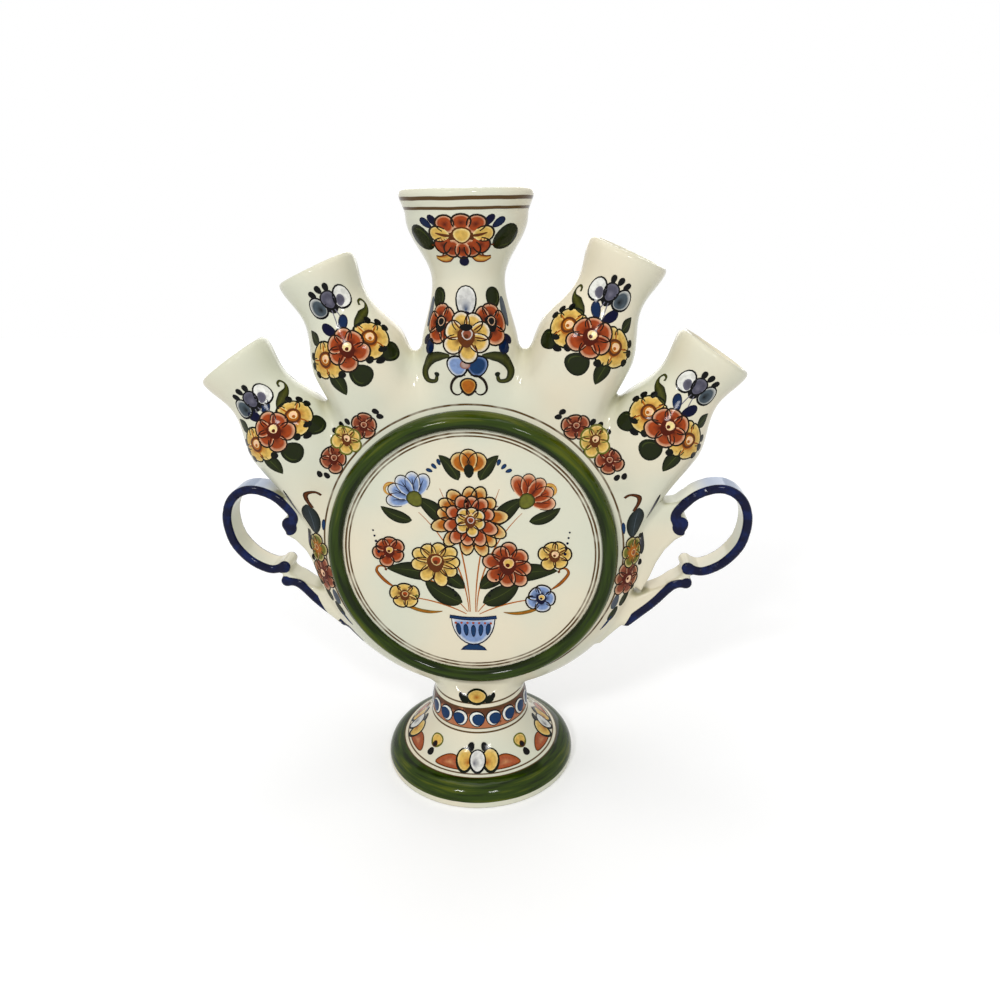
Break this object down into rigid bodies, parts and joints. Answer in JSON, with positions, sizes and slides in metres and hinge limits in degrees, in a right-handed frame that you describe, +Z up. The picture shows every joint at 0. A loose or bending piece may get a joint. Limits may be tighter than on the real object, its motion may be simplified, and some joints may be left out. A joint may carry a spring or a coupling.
{
  "type": "finger vase",
  "caption": "Tin-glazed earthenware finger vase with fanned tulip spouts, a round flower panel in a green ring, scroll handles and a spreading foot",
  "frame": {"origin": "on the table, halfway between the outermost reach of the two handles and midway between front and back; the foot's own axis stands 3 mm to the left of it", "axes": "+Z up; -Y is the way the painted front faces; +X to the right as seen from the front"},
  "size_m": [0.2075, 0.0788, 0.23],
  "materials": {
    "cream_glaze": "glossy",
    "green_glaze": "glossy",
    "blue_glaze": "glossy",
    "painted_colours": "glossy"
  },
  "bodies": {
    "root": {"body_front_shell": "cream_glaze", "body_back_shell": "cream_glaze", "outer_left_spout": "cream_glaze", "inner_left_spout": "cream_glaze", "centre_spout": "cream_glaze", "inner_right_spout": "cream_glaze", "outer_right_spout": "cream_glaze", "stem": "cream_glaze", "foot": "cream_glaze", "front_ring": "green_glaze", "back_ring": "green_glaze", "left_handle": "blue_glaze", "right_handle": "blue_glaze"}
  },
  "joints": []
}
